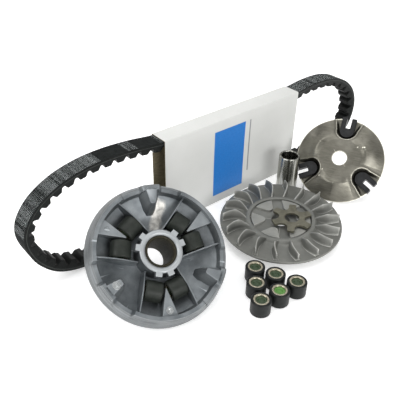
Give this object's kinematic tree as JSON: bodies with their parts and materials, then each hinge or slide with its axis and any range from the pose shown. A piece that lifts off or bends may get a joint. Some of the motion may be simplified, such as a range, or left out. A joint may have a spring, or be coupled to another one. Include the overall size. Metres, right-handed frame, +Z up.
{
  "type": "cvt pulley set",
  "caption": "Scooter variable-drive kit laid out: variator housing with weights, fan face with star plate, boss sleeve, ramp plate, spare weights and a cogged belt in a card sleeve.",
  "frame": {"origin": "centre of the laid-out kit, on the bench", "axes": "+X along the card sleeve and the belt, +Y towards the back of the kit, +Z up"},
  "size_m": [0.3959, 0.1586, 0.0923],
  "materials": {
    "belt_rubber": "matt",
    "sleeve_card": "matt",
    "cast_aluminium": "as cast",
    "bronze": "oiled sintered bronze",
    "blasted_aluminium": "blasted",
    "plate_steel": "dull olive",
    "ground_steel": "ground",
    "pressed_steel": "brushed",
    "slide_plastic": "matt",
    "weight_nylon": "satin",
    "ring_brass": "turned",
    "core_green": "satin",
    "core_bright_green": "satin"
  },
  "bodies": {
    "belt_set": {"drive_belt": "belt_rubber", "belt_sleeve": "sleeve_card"},
    "housing": {"variator_housing": "cast_aluminium", "housing_hub": "cast_aluminium", "housing_rib_1": "cast_aluminium", "housing_rib_2": "cast_aluminium", "housing_rib_3": "cast_aluminium", "housing_rib_4": "cast_aluminium", "housing_rib_5": "cast_aluminium", "housing_rib_6": "cast_aluminium", "housing_pillar_1": "cast_aluminium", "housing_pillar_2": "cast_aluminium", "housing_pillar_3": "cast_aluminium", "housing_guide_1": "cast_aluminium", "housing_guide_2": "cast_aluminium", "housing_guide_3": "cast_aluminium", "variator_bush": "bronze"},
    "fan": {"fan_face": "blasted_aluminium"},
    "star": {"star_plate": "plate_steel"},
    "boss": {"boss_sleeve": "ground_steel"},
    "ramp": {"ramp_plate": "pressed_steel", "ramp_slide_1": "slide_plastic", "ramp_slide_2": "slide_plastic", "ramp_slide_3": "slide_plastic"},
    "weight_1": {"weight_shell_1": "weight_nylon", "weight_ring_1": "ring_brass", "weight_core_1": "core_green"},
    "weight_2": {"weight_shell_2": "weight_nylon", "weight_ring_2": "ring_brass", "weight_core_2": "core_green"},
    "weight_3": {"weight_shell_3": "weight_nylon", "weight_ring_3": "ring_brass", "weight_core_3": "core_green"},
    "weight_4": {"weight_shell_4": "weight_nylon", "weight_ring_4": "ring_brass", "weight_core_4": "core_green"},
    "weight_5": {"weight_shell_5": "weight_nylon", "weight_ring_5": "ring_brass", "weight_core_5": "core_green"},
    "weight_6": {"weight_shell_6": "weight_nylon", "weight_ring_6": "ring_brass", "weight_core_6": "core_green"},
    "spare_1": {"spare_shell_1": "weight_nylon", "spare_ring_1": "ring_brass", "spare_core_1": "core_green"},
    "spare_2": {"spare_shell_2": "weight_nylon", "spare_ring_2": "ring_brass", "spare_core_2": "core_green"},
    "spare_3": {"spare_shell_3": "weight_nylon", "spare_ring_3": "ring_brass", "spare_core_3": "core_green"},
    "spare_4": {"spare_shell_4": "weight_nylon", "spare_ring_4": "ring_brass", "spare_core_4": "core_green"},
    "spare_5": {"spare_shell_5": "weight_nylon", "spare_ring_5": "ring_brass", "spare_core_5": "core_bright_green"},
    "spare_6": {"spare_shell_6": "weight_nylon", "spare_ring_6": "ring_brass", "spare_core_6": "core_green"}
  },
  "joints": [
    {"name": "housing_lift", "type": "slide", "parent": "belt_set", "child": "housing", "axis": [0, 0, 1], "range_m": [0, 0.12]},
    {"name": "fan_lift", "type": "slide", "parent": "belt_set", "child": "fan", "axis": [0, 0, 1], "range_m": [0, 0.1]},
    {"name": "star_lift", "type": "slide", "parent": "fan", "child": "star", "axis": [-0.046, -0.039, 0.9982], "range_m": [0, 0.04]},
    {"name": "boss_lift", "type": "slide", "parent": "belt_set", "child": "boss", "axis": [0, 0, 1], "range_m": [0, 0.08]},
    {"name": "ramp_lift", "type": "slide", "parent": "belt_set", "child": "ramp", "axis": [0, 0, 1], "range_m": [0, 0.1]},
    {"name": "weight_slide_1", "type": "slide", "parent": "housing", "child": "weight_1", "axis": [0.8172, -0.4512, 0.3585], "range_m": [0, 0.009]},
    {"name": "weight_slide_2", "type": "slide", "parent": "housing", "child": "weight_2", "axis": [0.7219, -0.0175, 0.6918], "range_m": [0, 0.009]},
    {"name": "weight_slide_3", "type": "slide", "parent": "housing", "child": "weight_3", "axis": [-0.383, 0.3839, 0.8402], "range_m": [0, 0.009]},
    {"name": "weight_slide_4", "type": "slide", "parent": "housing", "child": "weight_4", "axis": [-0.8054, 0.1384, 0.5764], "range_m": [0, 0.009]},
    {"name": "weight_slide_5", "type": "slide", "parent": "housing", "child": "weight_5", "axis": [-0.6018, -0.7871, -0.1349], "range_m": [0, 0.009]},
    {"name": "weight_slide_6", "type": "slide", "parent": "housing", "child": "weight_6", "axis": [-0.0841, -0.9753, -0.2044], "range_m": [0, 0.009]},
    {"name": "spare_lift_1", "type": "slide", "parent": "belt_set", "child": "spare_1", "axis": [0, 0, 1], "range_m": [0, 0.05]},
    {"name": "spare_lift_2", "type": "slide", "parent": "belt_set", "child": "spare_2", "axis": [0, 0, 1], "range_m": [0, 0.05]},
    {"name": "spare_lift_3", "type": "slide", "parent": "belt_set", "child": "spare_3", "axis": [0, 0, 1], "range_m": [0, 0.05]},
    {"name": "spare_lift_4", "type": "slide", "parent": "belt_set", "child": "spare_4", "axis": [0, 0, 1], "range_m": [0, 0.05]},
    {"name": "spare_lift_5", "type": "slide", "parent": "belt_set", "child": "spare_5", "axis": [0, 0, 1], "range_m": [0, 0.05]},
    {"name": "spare_lift_6", "type": "slide", "parent": "belt_set", "child": "spare_6", "axis": [0, 0, 1], "range_m": [0, 0.05]}
  ],
  "couplings": [
    {"joint": "weight_slide_2", "follows": "weight_slide_1", "ratio": 1},
    {"joint": "weight_slide_3", "follows": "weight_slide_1", "ratio": 1},
    {"joint": "weight_slide_4", "follows": "weight_slide_1", "ratio": 1},
    {"joint": "weight_slide_5", "follows": "weight_slide_1", "ratio": 1},
    {"joint": "weight_slide_6", "follows": "weight_slide_1", "ratio": 1}
  ]
}
